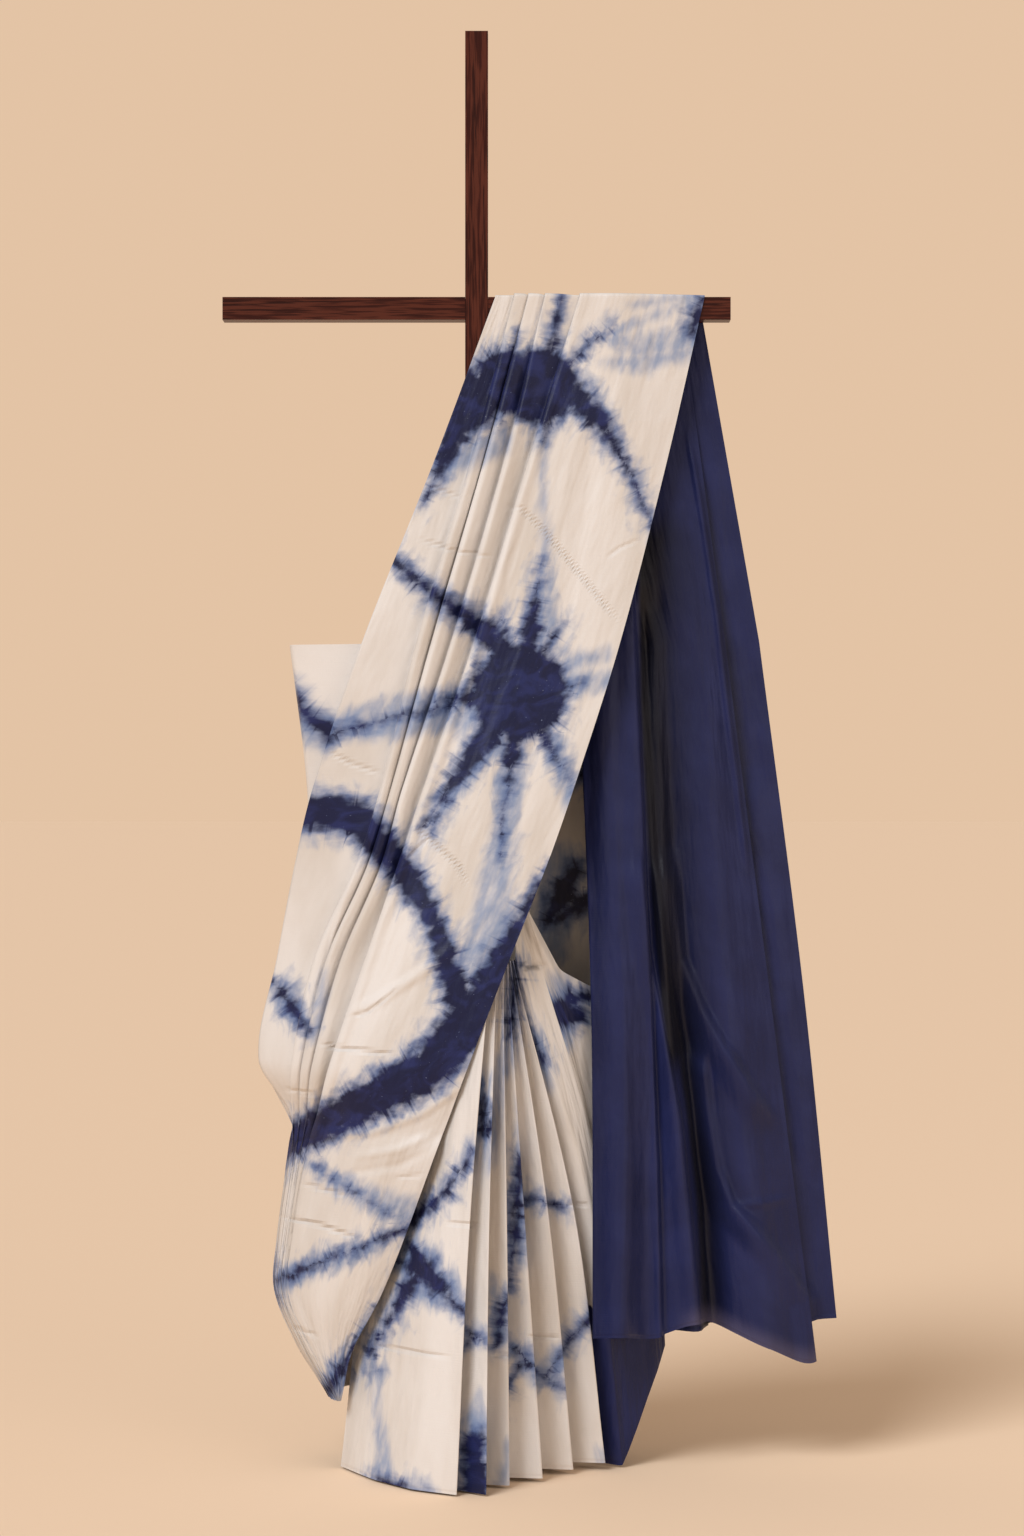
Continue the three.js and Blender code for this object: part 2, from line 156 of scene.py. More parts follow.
# The plain end behind the bar: each fold's place on the bar, further down, and at the hem
DROP_FOLDS = (
    (28, (150, -16), (170, -60), (172, -96, 203)),
    (70, (192, -30), (216, -80), (216, -116, 207)),
    (115, (243, -14), (258, -46), (262, -58, 198)),
    (150, (266, -22), (284, -56), (322, -68, 219)),
    (180, (287, -10), (310, -24), (356, -28, 212)),
    (245, (330, -16), (375, -42), (435, -54, 180)),
    (310, (375, -4), (444, -6), (509, -2, 155)),
    (341, (425, 4), (492, 8), (542, 10, 215)),
)
DROP_START, DROP_UPPER, DROP_LOWER, DROP_HEM = 1713, 1228, 700, 200
REAR_HEM_LEFT, REAR_HEM_RIGHT = 203, 214

# Soft folds: height towards the viewer, width to the left and to the right, and places along
# each, as seen from the camera on the plane of the post
PANEL_SWELLS = (
    (-2.5, 22, 22, (185, 1570), (147, 1355), (120, 1200)),
    (3, 6, 16, (-180, 910), (-212, 800), (-232, 717), (-260, 625)),
    (4, 14, 12, (-20, 785), (-90, 730), (-145, 695), (-205, 665)),
    (3.5, 10, 14, (-265, 492), (-160, 495), (-85, 522), (0, 580)),
    (3, 10, 10, (-200, 455), (-115, 470), (-45, 505)),
    (-2.5, 10, 10, (-215, 430), (-115, 447), (-60, 475)),
)
SWAG_SWELLS = (
    (6, 12, 10, (70, 850), (85, 800), (110, 750), (135, 700)),
)
DROP_SWELLS = (
    (15, 34, 5, (228, 1400), (240, 1145), (250, 920), (262, 635), (270, 455), (280, 60)),
    (6, 8, 8, (315, 1560), (333, 1450), (359, 1281), (375, 1137), (390, 1020), (408, 880)),
    (16, 40, 16, (290, 930), (305, 755), (335, 680), (365, 627), (402, 575), (450, 500)),
    (
        15, 36, 16,
        (333, 640), (344, 530), (359, 440), (380, 387), (447, 317), (497, 245), (512, 60),
    ),
    (10, 30, 6, (243, 930), (257, 770), (287, 605), (305, 515), (325, 320), (350, 60)),
    (
        -14, 14, 40,
        (250, 1330), (262, 1145), (276, 905), (300, 695), (325, 545), (342, 395), (355, 60),
    ),
    (2, 6, 6, (262, 800), (267, 425), (278, 60)),
    (9, 20, 20, (410, 1050), (433, 875), (455, 755), (477, 605), (500, 420)),
    (3, 9, 9, (385, 387), (433, 390), (475, 399)),
)

# Painted shade along the plain end's deep valleys, darkening the navy there: strength, widths and places
DROP_VALLEY_SHADE = (
    (0.96, 9, 108, (246, 1440), (250, 1145), (258, 995), (266, 845), (280, 695), (300, 560)),
    (0.85, 12, 52, (272, 860), (292, 695), (318, 545), (336, 395), (350, 60)),
    (0.35, 10, 16, (338, 1500), (352, 1370), (368, 1250), (388, 1110), (404, 990), (425, 860)),
    (0.3, 14, 30, (130, 1500), (172, 1150), (180, 800), (172, 60)),
    (0.35, 8, 30, (350, 600), (362, 500), (378, 425), (400, 370)),
)

# Fine creases from storage: depth and places along each
PANEL_CREASES = (
    (0.8, (30, 1435), (65, 1434), (100, 1400), (130, 1365), (190, 1290), (225, 1250)),
    (0.5, (190, 1355), (215, 1373), (248, 1387)),
    (0.6, (-80, 1468), (-20, 1447)),
    (0.7, (-95, 1390), (-30, 1367), (35, 1358)),
    (0.8, (-100, 962), (-45, 912), (-25, 893), (-10, 855)),
    (0.6, (-65, 945), (-110, 900)),
    (0.6, (-230, 1072), (-190, 1050), (-135, 1031)),
    (0.8, (-200, 667), (-165, 676), (-135, 698), (-110, 720)),
    (1.0, (-248, 634), (-215, 624), (-160, 617), (-110, 610)),
    (0.6, (-293, 562), (-232, 551)),
    (0.5, (-125, 428), (-75, 432)),
    (0.6, (-268, 421), (-187, 398)),
    (1.0, (-303, 372), (-235, 357), (-170, 333)),
    (0.6, (-283, 205), (-232, 188)),
)
FAN_CREASES = (
    (0.8, (-50, 360), (8, 356)),
    (0.8, (70, 189), (130, 188)),
    (0.7, (18, 162), (62, 161)),
    (0.8, (-165, 178), (-30, 157)),
    (0.6, (130, 387), (172, 387)),
    (0.7, (55, 744), (110, 747)),
)
CREASE_WIDTH = 5.5

# Dyed stars: place, heart's radius, and rays of turn, length and half width
STARS = {
    "panel": (
        (98, 1614, 60, ((78, 165, 16), (42, 140, 12), (-88, 85, 30), (183, 100, 50))),
        (-14, 1592, 50, ((70, 75, 26), (5, 60, 44), (-113, 165, 36))),
        (42, 1622, 52, ((75, 75, 20), (-95, 60, 26))),
        (64, 1156, 76, (
            (80, 200, 30), (102, 120, 18), (58, 125, 20), (186, 130, 40), (-126, 255, 34),
            (-97, 185, 30), (-60, 170, 22), (8, 100, 20),
        )),
    ),
    "A": ((-85, 292, 27, ((-45, 125, 24), (115, 60, 22), (-121, 190, 17), (160, 45, 14))),),
    "B": ((0, 190, 6, ((150, 35, 6), (-30, 35, 6), (-140, 30, 5))),),
    "D": ((72, 157, 12, ((140, 40, 8), (-45, 45, 9), (-120, 80, 5))),),
    "E": ((100, 130, 8, ((-30, 55, 6), (50, 75, 6), (150, 40, 9))),),
    "back": (
        (-190, 980, 34, (
            (20, 150, 22), (100, 120, 16), (160, 90, 20), (-70, 170, 22), (-140, 120, 14),
        )),
        (-60, 560, 42, (
            (35, 170, 24), (85, 150, 18), (150, 130, 22), (-40, 120, 18), (-95, 190, 24),
        )),
        (-200, 270, 24, ((60, 110, 16), (10, 90, 14), (-80, 100, 14))),
        (130, 400, 36, ((70, 150, 22), (140, 110, 18), (-20, 90, 18), (-110, 170, 22))),
        (210, 1040, 22, ((110, 110, 14), (190, 100, 16), (-60, 90, 12))),
    ),
}

# Dyed bands and splashes, dark or a pale wash: places with half widths
BANDS = {
    "panel": (
        ("dark", (130, 1615, 28), (180, 1570, 20), (222, 1500, 8), (270, 1395, 7)),
        ("dark", (345, 1755, 5), (330, 1720, 15), (323, 1695, 12)),
        ("dark", (50, 1210, 25), (0, 1260, 20), (-60, 1298, 13), (-130, 1360, 11)),
        ("dark", (-35, 1138, 12), (-110, 1122, 5), (-225, 1092, 9)),
        ("dark", (-200, 1100, 5), (-232, 1085, 14)),
        ("dark", (-45, 995, 7), (-70, 945, 3)),
        ("dark", (40, 985, 5), (35, 905, 3)),
        ("dark", (-285, 985, 33), (-180, 968, 31), (-110, 890, 24), (-60, 805, 18), (-28, 700, 24)),
        (
            "dark", (112, 897, 6), (55, 790, 18), (10, 690, 38), (-70, 592, 38), (-190, 528, 32),
            (-285, 480, 26), (-300, 440, 9),
        ),
        ("dark", (-320, 740, 3), (-280, 690, 14), (-255, 650, 8)),
        ("dark", (-320, 265, 9), (-250, 295, 7), (-165, 328, 6), (-95, 355, 8)),
        ("dark", (-312, 318, 5), (-305, 237, 6)),
        ("dark", (-240, 442, 3), (-190, 410, 3), (-125, 370, 3)),
        ("dark", (-112, 270, 5), (-150, 212, 11), (-230, 100, 14)),
        ("wash", (195, 1690, 6), (270, 1722, 7), (342, 1756, 8)),
        ("wash", (195, 1685, 8), (245, 1677, 20), (335, 1688, 20)),
        ("wash", (185, 1652, 5), (245, 1650, 15), (320, 1667, 14)),
        ("wash", (230, 1737, 4), (320, 1750, 8)),
        ("wash", (96, 1535, 12), (102, 1460, 4), (104, 1310, 10)),
        ("wash", (35, 1535, 21), (-40, 1490, 12)),
        ("wash", (102, 1250, 22), (106, 1345, 6)),
        ("wash", (-15, 1137, 33), (-115, 1120, 32), (-232, 1093, 22)),
        ("wash", (20, 1077, 21), (-48, 987, 10)),
        ("wash", (50, 1025, 20), (40, 950, 21), (20, 810, 29), (5, 755, 33)),
        ("wash", (118, 1077, 12), (142, 995, 15)),
        ("wash", (140, 1200, 14), (192, 1213, 11)),
        ("wash", (148, 1167, 18), (202, 1176, 15)),
        ("wash", (-307, 717, 18), (-268, 675, 18)),
        ("wash", (-228, 735, 3), (-238, 665, 8)),
        ("wash", (-315, 266, 21), (-145, 330, 12)),
        ("wash", (-250, 447, 6), (-145, 390, 21), (-97, 380, 21)),
        ("wash", (-145, 202, 18), (-200, 135, 24)),
    ),
    "corner": (
        ("dark", (-290, 1160, 12), (-256, 1122, 15), (-195, 1080, 17)),
        ("wash", (-280, 1115, 24), (-220, 1090, 30)),
    ),
    "A": (
        ("dark", (-5, 465, 6), (-45, 410, 9), (-95, 365, 14)),
        ("dark", (-163, 192, 9), (-155, 137, 4)),
        ("dark", (-150, -25, 10), (-115, -40, 15), (-78, -46, 4)),
        ("wash", (-110, 315, 36), (-55, 260, 33)),
        ("wash", (-157, 147, 12), (-148, 80, 4), (-140, -10, 14)),
    ),
    "B": (
        ("dark", (-3, 32, 20), (-3, -65, 25)),
        ("dark", (2, 562, 10), (14, 497, 12)),
        ("wash", (2, 102, 8), (-4, 57, 21)),
        ("wash", (5, 582, 12), (20, 440, 6)),
    ),
    "C": (
        ("dark", (47, 248, 8), (35, 212, 12), (32, 177, 6)),
        ("wash", (23, 277, 8), (35, 200, 18)),
        ("wash", (50, 27, 8), (35, -50, 15)),
        ("wash", (35, 605, 9), (23, 455, 5)),
    ),
    "D": (
        ("dark", (65, 457, 8), (63, 410, 14), (62, 365, 12), (47, 267, 5)),
        ("wash", (68, 545, 6), (62, 305, 12)),
        ("wash", (57, 170, 18), (97, 128, 18)),
    ),
    "E": (
        ("dark", (57, 396, 6), (95, 395, 8), (112, 388, 6)),
        ("wash", (97, 128, 18), (133, 170, 15)),
    ),
    "F": (
        ("dark", (102, 390, 6), (135, 383, 5)),
        ("dark", (128, 170, 6), (152, 198, 8), (175, 222, 6)),
        ("wash", (190, 17, 6), (194, -10, 6)),
    ),
    "G": (
        ("dark", (71, 657, 6), (86, 627, 9), (100, 602, 8)),
        ("wash", (65, 687, 8), (90, 620, 15), (110, 565, 6)),
    ),
    "fan": (
        ("dark", (59, 757, 5), (56, 710, 8), (52, 665, 8), (49, 640, 5)),
        ("wash", (50, 620, 12), (44, 588, 9)),
    ),
    "swag": (
        ("dark", (177, 702, 9), (140, 695, 18), (113, 668, 24), (147, 672, 21)),
        ("wash", (125, 717, 21), (125, 635, 24)),
    ),
    "back": (
        ("dark", (150, 890, 15), (128, 852, 24), (108, 812, 14), (163, 842, 16)),
        ("wash", (125, 905, 30), (112, 775, 30)),
        ("dark", (-285, 1010, 20), (-210, 1085, 28), (-90, 1120, 26), (10, 1065, 22), (60, 965, 16)),
        ("dark", (270, 330, 20), (205, 240, 26), (95, 200, 26), (-20, 235, 22), (-95, 330, 14)),
        ("wash", (-190, 860, 30), (-170, 740, 22)),
        ("wash", (-10, 470, 34), (20, 330, 26)),
        ("wash", (-230, 1180, 20), (60, 1150, 26)),
    ),
}

# A star's rays end with this half width
STAR_TIP = 1.5

# The distance that stands for no dye near
FAR = 200.0

# The plain navy reaches this far up the right-hand folds, and the sheer part of its hem this far.
# The plain end is a single layer, and so sheer, to the right of SINGLE_FROM.
NAVY_TOP = 235
SHEER_DEPTH = 36
SINGLE_FROM, SINGLE_FADE = 290, 40

# Each pleat's edge as a soft roll: where it is highest, its widths to the left and right, its height
ROLL = {"shift": 4, "left": 9, "right": 16, "height": 6}

# One pleat's columns: how far before its tuck the face below starts, as a share of its width, the
# layer that this face climbs to, and the counts in the tuck, below it, up the climb and at its end
PLEAT = {"start": 0.04, "climb": 2.6, "tuck": 3, "below": 2, "rise": 6, "last": 3}
TURN_POINTS = 5

# Where the pleats open, their edges stay this far out
OPEN_EDGE = 0.8

# How a soft fold or crease fades towards its ends: over this length, or this share if it is short
END_LENGTH = 60
END_SHARE = 0.3

# How far apart a mesh's rows and columns are, and how many passes soften its folds
STEP = 4.5
ROWS_DOWN = 205
BAR_ROWS = {"behind": 6, "corner": 5, "top": 6, "front": 9}
SOFTEN_BACK = 4
SOFTEN_FRONT = 5
PANEL_COLUMNS = {"face": 58, "left": 24, "under": 26}
DROP_COLUMNS = {"face": 20, "left": 12, "under": 118}

# The silk's colours
IVORY = (0.785, 0.765, 0.76, 1)
IVORY_WARM = (0.665, 0.625, 0.59, 1)
PALE_BLUE = (0.22, 0.31, 0.52, 1)
MIDDLE_BLUE = (0.10, 0.16, 0.36, 1)
INDIGO = (0.0085, 0.012, 0.054, 1)
INDIGO_LIGHT = (0.018, 0.026, 0.118, 1)
NAVY = (0.012, 0.017, 0.078, 1)
NAVY_LIGHT = (0.0165, 0.023, 0.1, 1)
# The next colour is painted shade, for the plain end's deep valleys
NAVY_PAINTED_SHADE = (0.002, 0.0024, 0.007, 1)
NAVY_SHEER = (0.11, 0.10, 0.18, 1)

# The silk's noises: scale, for all axes or across and along the cloth, detail and distortion
SILK_NOISES = {
    "needles": (0.085, 1.5, 0.0),
    "fine_needles": (0.34, 1.0, 0.0),
    "wander": (0.05, 5.0, 0.0),
    "streaks": ((0.05, 0.016, 1), 4.0, 1.2),
    "patches": ((0.07, 0.025, 1), 3.0, 0.0),
    "ageing": ((0.014, 0.003, 1), 4.0, 0.0),
    "depth": (0.03, 4.0, 0.8),
    "specks": (0.28, 1.0, 0.0),
    "navy_edge": ((0.12, 0.03, 1), 3.0, 0.0),
    "navy_depth": (0.012, 3.0, 0.0),
    "gloss": (0.05, 2.0, 0.0),
    "slubs": ((0.03, 0.9, 1), 2.0, 0.0),
    "threads": ((1.4, 0.12, 1), 1.0, 0.0),
    "soft_folds": ((0.02, 0.0045, 1), 3.0, 0.0),
}

# How far noises move the dye's edges, in millimetres: the noise's middle and its reach. Needles
# shorter than NEEDLE_LOSS don't show.
EDGE_MOVES = {
    "needles": (0.47, 38.0),
    "fine_needles": (0.5, 8.0),
    "wander": (0.5, 36.0),
    "wash": (0.5, 30.0),
    "bleed": (0.5, 70.0),
    "navy": (0.5, 60.0),
}
NEEDLE_LOSS = 3.0

# Where each tone starts and where it is full: millimetres past the dye's edge, or a noise's values
TONE_RANGES = {
    "wash": (12, -14),
    "bleed": (26, -8),
    "halo": (12, -5),
    "dense": (1, -13),
    "navy": (-4, 4),
    "hem": (7, 3),
    "patches": (0.2, 0.7),
    "ageing": (0.35, 0.72),
    "depth": (0.42, 0.68),
    "specks": (0.73, 0.80),
    "navy_depth": (0.35, 0.7),
}

# How strong each tone is: the least, and what patches add to it
TONE_SHARES = {"wash": (0.3, 0.55), "halo": (0.4, 0.5)}
BLEED_SHARE = 0.55
SPECK_SHARE = 0.6
SHEER_SHARE = 0.55

# The silk's gloss, and its relief in metres
SILK_GLOSS = {"roughness": 0.36, "varies": 0.12, "sheen": 0.05, "sheen_roughness": 0.4, "specular": 0.25}
SILK_RELIEF = {"soft_folds": 0.010, "crease": 0.003, "hem": 0.0006, "weave": 0.00022}

# The wood's colours, its grain along each timber, and its gloss, with the relief in metres
WOOD_DARK = (0.0182, 0.0022, 0.0014, 1)
WOOD_RED = (0.0476, 0.0065, 0.0037, 1)
WOOD_WORN = (0.112, 0.026, 0.014, 1)
WOOD_ALONG = {
    "stand_post": "Z",
    "stand_crossbar": "X",
    "stand_lower_bar": "X",
    "stand_foot_across": "X",
    "stand_foot_deep": "Y",
}
GRAIN = {"along": 2.5, "across": 55.0, "detail": 6.0, "distortion": 0.6, "finer": 7, "relief": 0.00025}
WOOD_RANGES = {"grain": (0.22, 0.80), "edge": (0.505, 0.56), "patches": (0.4, 0.6)}
WORN_SHARE = 0.7
WOOD_GLOSS = {"roughness": 0.30, "varies": 0.2, "coat": 0.12, "coat_roughness": 0.22, "specular": 0.18}

# The floor and the surroundings: as a light, and as they are seen
FLOOR = {"half": 60, "colour": (0.95, 0.735, 0.545, 1), "roughness": 0.85}
WORLD_LIGHT = (0.45, 0.365, 0.29, 1)
WORLD_SEEN = (0.77, 0.55, 0.378, 1)

# The lights: place and aim in metres, and size, in degrees for the sun and metres for the area
LIGHTS = (
    {
        "name": "key", "kind": "SUN", "place": (-3.2, -4.2, 5.95), "aim": (0, 0, 0.9),
        "size": 28, "power": 1.9, "colour": (0.94, 0.97, 1.0),
    },
    {
        "name": "fill", "kind": "AREA", "place": (2.8, -3.6, 1.6), "aim": (0, 0, 1.0),
        "size": 2.5, "power": 22, "colour": (1, 0.95, 0.9),
    },
)


def table(keys, rows):
    """The columns of a table by name."""
    return dict(zip(keys, np.array(rows, float).T))


PANEL = table(PANEL_KEYS, PANEL_ROWS)
FOLD = table(FOLD_KEYS, FOLD_ROWS)
TURN = table(TURN_KEYS, TURN_ROWS)
PANEL_TOP, PANEL_HEM = PANEL["z"][0], PANEL["z"][-1]


def mix(a, b, share):
    return a + (b - a) * share


def ease(share):
    share = np.clip(share, 0, 1)
    return share * share * (3 - 2 * share)


def smooth(places, values, at):
    """A smooth value at each place in at, through the values at rising places."""
    places, values = np.asarray(places, float), np.asarray(values, float)
    slopes = np.empty_like(values)
    slopes[1:-1] = (values[2:] - values[:-2]) / (places[2:] - places[:-2])
    slopes[0] = (values[1] - values[0]) / (places[1] - places[0])
    slopes[-1] = (values[-1] - values[-2]) / (places[-1] - places[-2])
    i = np.clip(np.searchsorted(places, at) - 1, 0, len(places) - 2)
    span = places[i + 1] - places[i]
    s = np.clip((at - places[i]) / span, 0, 1)
    pull = (slopes[i] * s * (1 - s) ** 2 - slopes[i + 1] * s * s * (1 - s)) * span
    return mix(values[i], values[i + 1], s * s * (3 - 2 * s)) + pull


def by_height(columns, key, z):
    return smooth(-columns["z"], columns[key], -np.asarray(z, float))


class Columns:
    """The pleated end's columns at given heights: x and side by height, layer and under by column."""

    def __init__(self, z, counts):
        self.z = np.asarray(z, float)
        self.counts = counts
        self.edge = by_height(PANEL, "edge_x", self.z)
        self.left = by_height(PANEL, "left_x", self.z)
        self.tuck = by_height(PANEL, "tuck", self.z)
        self.closed = np.clip(1 + self.tuck / OPEN_TUCK, 0, 1)
        self.x, self.layer, self.side, self.under = [], [], [], []
        self._make()
        self.x = np.array(self.x).T
        self.layer, self.side, self.under = map(np.array, (self.layer, self.side, self.under))

    def add(self, x, layer, side=0.0, under=-1.0):
        self.x.append(x)
        self.layer.append(layer)
        self.side.append(side)
        self.under.append(under)

    def turn(self, x, layer, towards):
        """A fold's soft roll, from a layer to the one below it."""
        for angle in np.linspace(0, math.pi, TURN_POINTS):
            out = towards * 0.5 * IN_PANEL * math.sin(angle) * self.closed
            self.add(x + out, layer - 0.5 + 0.5 * math.cos(angle), math.cos(angle) * -towards)

    def run(self, start, end, from_layer, to_layer, count):
        """Columns strictly between two places."""
        for share in np.linspace(0, 1, count + 2)[1:-1]:
            self.add(mix(start, end, share), mix(from_layer, to_layer, ease(share)))

    def _make(self):
        ridges = [by_height(PANEL, name, self.z) for name in RIDGES]
        for share in np.arange(self.counts["face"]) / self.counts["face"]:
            self.add(mix(self.edge, ridges[0], share), min(3, 1 + 3 * share))
        for n, ridge in enumerate(ridges):
            valley = ridge + self.tuck
            self.turn(ridge, 3, -1)
            self.run(ridge, valley, 2, 2, PLEAT["tuck"])
            self.turn(valley, 2, 1)
            lower = np.minimum(ridge, valley)
            if n + 1 < len(ridges):
                upper = np.maximum(ridges[n + 1], ridges[n + 1] + self.tuck)
                room = ridge - upper
                start = lower - PLEAT["start"] * room
                self.run(valley, start, 1, 1, PLEAT["below"])
                self.add(start, 1)
                self.run(start, upper, 1, PLEAT["climb"], PLEAT["rise"])
                self.add(upper, PLEAT["climb"])
                self.run(upper, ridges[n + 1], PLEAT["climb"], 3, PLEAT["last"])
            else:
                self.run(valley, lower, 1, 1, PLEAT["below"])
                self.run(lower, self.left, 1, 1, self.counts["left"])
        self.add(self.left, 1, 0.6)
        fold = by_height(FOLD, "x", self.z)
        for share in np.linspace(0, 1, self.counts["under"]):
            self.add(mix(self.left, fold, share), 0, 0, share)


def bar_offset(layer):
    return BAR_GAP + ON_BAR * layer


def pleat_rolls(c):
    """How far the pleats' edges stand out as soft rolls."""
    out = np.zeros(c.x.shape)
    for name in RIDGES:
        away = c.x - by_height(PANEL, name, c.z)[:, None] - ROLL["shift"]
        width = np.where(away < 0, ROLL["left"], ROLL["right"])
        share = np.clip(np.abs(away) / width, 0, 1)
        out = np.maximum(out, ROLL["height"] * (1 - ease(share)))
    return np.where(c.under >= 0, 0, out)


def panel_points(z):
    """Points of the hanging panel, a row for each height."""
    c = Columns(z, PANEL_COLUMNS)
    height = c.z[:, None]
    edge_x, left_x = c.edge[:, None], c.left[:, None]
    edge_y = by_height(PANEL, "edge_y", c.z)[:, None]
    left_y = by_height(PANEL, "left_y", c.z)[:, None]
    closed = c.closed[:, None]
    width = edge_x - left_x
    under = c.under >= 0
    x = np.where(under, left_x, c.x + c.side * OPEN_EDGE * (1 - closed))
    s = np.clip((edge_x - x) / width, 0, 1)
    y = mix(left_y, edge_y, 1 - s ** PANEL_BULGE)
    slope = PANEL_BULGE * (left_y - edge_y) * s ** (PANEL_BULGE - 1) / width
    depth = IN_PANEL * (3 - c.layer) * np.where(under, 1, closed)
    long = np.hypot(slope, 1)
    x, y = x + depth * slope / long, y + depth / long
    share = np.where(under, c.under, 0)
    x = mix(x, by_height(FOLD, "x", c.z)[:, None], share)
    y = mix(y, by_height(FOLD, "y", c.z)[:, None], share)
    hang = np.clip((DROP_START - height) / (DROP_START - PANEL_FREE), 0, 1)
    x = mix(c.x, x, hang)
    y = mix(-TIMBER / 2 - bar_offset(c.layer), y - pleat_rolls(c), hang)
    return np.stack([x, y, np.broadcast_to(height, x.shape)], axis=-1)


def bar_points():
    """Points over the bar, from its back to its front, with round corners."""
    top_columns = Columns([PANEL_TOP], PANEL_COLUMNS)
    offset = bar_offset(top_columns.layer)
    half, top = TIMBER / 2, BAR_HEIGHT + TIMBER / 2
    rows = []
    for z in np.linspace(top - TIMBER, top, BAR_ROWS["behind"])[:-1]:
        rows.append((half + offset, np.full_like(offset, z)))
    for angle in np.linspace(0, math.pi / 2, BAR_ROWS["corner"]):
        rows.append((half + offset * math.cos(angle), top + offset * math.sin(angle)))
    for y in np.linspace(half, -half, BAR_ROWS["top"])[1:-1]:
        rows.append((np.full_like(offset, y), top + offset))
    for angle in np.linspace(math.pi / 2, math.pi, BAR_ROWS["corner"]):
        rows.append((-half + offset * math.cos(angle), top + offset * math.sin(angle)))
    made = [np.stack([top_columns.x[0], y, z], axis=-1) for y, z in rows]
    for z in np.linspace(top, top - TIMBER, BAR_ROWS["front"])[1:]:
        x = Columns([z], PANEL_COLUMNS).x[0]
        made.append(np.stack([x, -half - offset, np.full_like(x, z)], axis=-1))
    return np.array(made)


def through_three(values, places, at):
    """A smooth value at a place, through three arrays of values at rising places."""
    a, b, c = values
    spans = np.diff(places)
    first, second = (b - a) / spans[0], (c - b) / spans[1]
    middle = (c - a) / (places[2] - places[0])
    if at <= places[1]:
        start, end, slopes, span, place = a, b, (first, middle), spans[0], places[0]
    else:
        start, end, slopes, span, place = b, c, (middle, second), spans[1], places[1]
    s = min(1, max(0, (at - place) / span))
    pull = (slopes[0] * s * (1 - s) ** 2 - slopes[1] * s * s * (1 - s)) * span
    return mix(start, end, ease(s)) + pull


def drop_points(count):
    """Points of the drop behind the bar, from the hem up to the bar."""
    c = Columns([PANEL_TOP], DROP_COLUMNS)
    bar = [fold[0] for fold in DROP_FOLDS]
    place = c.x[0]
    hem_z = smooth(bar, [fold[3][2] for fold in DROP_FOLDS], place)
    rear_hem = mix(REAR_HEM_LEFT, REAR_HEM_RIGHT, (place - bar[0]) / (bar[-1] - bar[0]))
    hem_z = np.where(c.under >= 0, hem_z, rear_hem)
    rows = []
    for share in np.linspace(1, 0, count):
        level = min(DROP_UPPER, mix(DROP_START, DROP_HEM, share))
        at = []
        for i in (0, 1):
            across = [smooth(bar, [fold[n][i] for fold in DROP_FOLDS], place) for n in (1, 2, 3)]
            at.append(through_three(across, (-DROP_UPPER, -DROP_LOWER, -DROP_HEM), -level))
        fallen = min(1, (DROP_START - DROP_HEM) * share / (DROP_START - DROP_UPPER))
        x = mix(place, at[0], fallen)
        y = mix(TIMBER / 2 + bar_offset(c.layer), at[1] + IN_DROP * c.layer, ease(fallen))
        rows.append(np.stack([x, y, mix(DROP_START, hem_z, share)], axis=-1))
    return np.array(rows), c


def fold_lines(folds, down):
    """Each fold line's points at shares of the way down."""
    lines = []
    for top, middle, hem in folds:
        half = (*middle, (top[2] + hem[2]) / 2)
        axes = [smooth([0, 0.5, 1], [top[i], half[i], hem[i]], down) for i in range(3)]
        lines.append(np.stack(axes, axis=-1))
    return lines


def across_lines(lines, names, rounding):
    """Rows of points across fold lines, with soft folds, and the name of each column's face."""
    parts, areas = [], []
    for a, b, name in zip(lines, lines[1:], names):
        widest = np.linalg.norm(b - a, axis=-1).max()
        count = max(2, int(round(widest / STEP)))
        parts += [mix(a, b, share) for share in np.arange(count) / count]
        areas += [name] * count
    points = np.stack([*parts, lines[-1]], axis=1)
    for _ in range(rounding):
        points[:, 1:-1] = (points[:, :-2] + 2 * points[:, 1:-1] + points[:, 2:]) / 4
    return points, np.array([*areas, areas[-1]])


def wrap_lines(z):
    """The wrap's lines from the hidden fold to the left turn's back, at given heights."""
    fold = np.stack([by_height(FOLD, "x", z), by_height(FOLD, "y", z), z], axis=-1)
    behind = fold + (-1, 7, 0)
    sides = [
        np.stack([by_height(TURN, name + "_x", z), by_height(TURN, name + "_y", z), z], axis=-1)
        for name in ("front", "turn", "back")
    ]
    return [fold, behind, mix(behind, sides[0], 0.5), *sides]


def seen(points):
    """Where points show on the plane of the post, seen from the camera."""
    scale = CAMERA["y"] / (CAMERA["y"] - points[..., 1])
    across = CAMERA["x"] + (points[..., 0] - CAMERA["x"]) * scale
    up = CAMERA["z"] + (points[..., 2] - CAMERA["z"]) * scale
    return np.stack([across, up], axis=-1)


def crest(spots, line, left, right):
    """1 on a line, falling to 0 at its left and right widths and towards its ends."""
    corners = np.array(line, float)
    spans = np.diff(corners, axis=0)
    lengths = np.linalg.norm(spans, axis=-1)
    reached = np.concatenate([[0], np.cumsum(lengths)])
    near = np.full(spots.shape[:-1], np.inf)
    side, along = np.zeros(near.shape), np.zeros(near.shape)
    for i, span in enumerate(spans):
        away = spots - corners[i]
        share = np.clip(away @ span / lengths[i] ** 2, 0, 1)
        far = np.linalg.norm(away - share[..., None] * span, axis=-1)
        closer = far < near
        near = np.where(closer, far, near)
        side = np.where(closer, span[0] * away[..., 1] - span[1] * away[..., 0], side)
        along = np.where(closer, reached[i] + share * lengths[i], along)
    ends = ease(np.minimum(along, reached[-1] - along) / min(END_LENGTH, END_SHARE * reached[-1]))
    return ends * ease(1 - near / np.where(side > 0, right, left))


